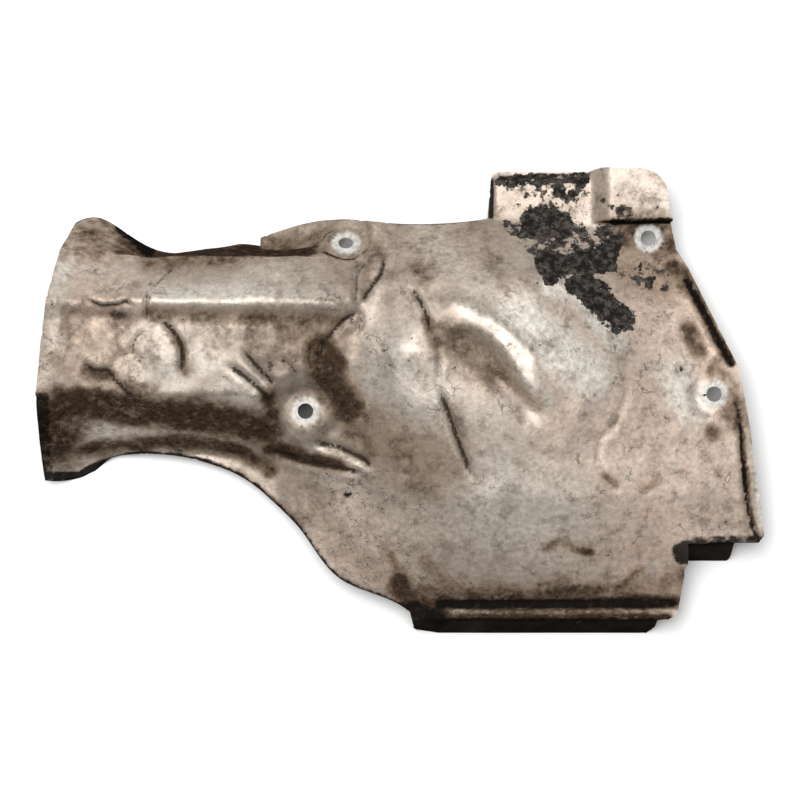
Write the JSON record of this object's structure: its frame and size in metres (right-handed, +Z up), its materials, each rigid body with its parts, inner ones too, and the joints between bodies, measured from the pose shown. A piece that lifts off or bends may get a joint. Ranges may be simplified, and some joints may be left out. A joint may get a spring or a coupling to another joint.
{
  "type": "transfer case heat shield",
  "caption": "Pressed sheet heat shield: a half-tube with a flared mouth runs into a domed body with a tab, a turned-down hem and drilled bolt seats, to screen a gearbox from exhaust heat.",
  "frame": {"origin": "centre of the bounding box in plan, on the surface the shield lies on", "axes": "+X along the half-tube, from its flared mouth towards the body; +Y across the sheet, towards the tab; +Z up, out of the outer face, with the hollow side down"},
  "size_m": [0.3307, 0.2146, 0.0566],
  "materials": {
    "aluminium_sheet": "dull, heat stained, with tar and grime"
  },
  "bodies": {
    "root": {"heat_shield": "aluminium_sheet"}
  },
  "joints": []
}
